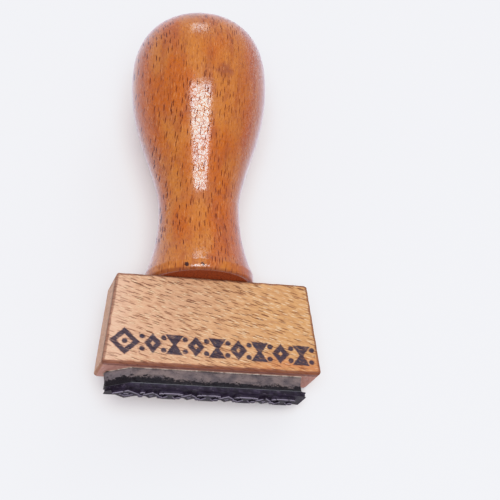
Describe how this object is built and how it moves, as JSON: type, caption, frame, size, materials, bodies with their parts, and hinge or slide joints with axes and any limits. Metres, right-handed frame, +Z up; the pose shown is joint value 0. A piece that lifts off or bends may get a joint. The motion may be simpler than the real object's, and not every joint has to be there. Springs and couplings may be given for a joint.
{
  "type": "wooden rubber hand stamp",
  "caption": "Wooden hand stamp with a turned pear-shaped handle, a flat wooden block and a rubber printing plate on a sponge cushion.",
  "frame": {"origin": "centre of the printing face, below the middle of the block", "axes": "+Z up along the handle's axis, +X along the printed row to the right as seen from the front, the front faces -Y"},
  "size_m": [0.0498, 0.032, 0.0941],
  "materials": {
    "varnished_beech": "gloss varnish over orange-brown stain",
    "bare_beech": "sanded, untreated, ink print on the front",
    "steel": "bright",
    "cement": "dried film",
    "sponge_rubber": "matt, closed cell",
    "plate_rubber": "satin, inked"
  },
  "bodies": {
    "stamp": {"handle": "varnished_beech", "mount_block": "bare_beech", "handle_screw": "steel", "cushion_cement": "cement", "cushion": "sponge_rubber"},
    "plate": {"plate_cement": "cement", "relief_plate": "plate_rubber"}
  },
  "joints": [
    {"name": "cushion_press", "type": "slide", "parent": "stamp", "child": "plate", "axis": [0, 0, 1], "range_m": [0, 0.0008], "stiffness_N_per_m": 20000, "deforming": ["cushion"]}
  ]
}
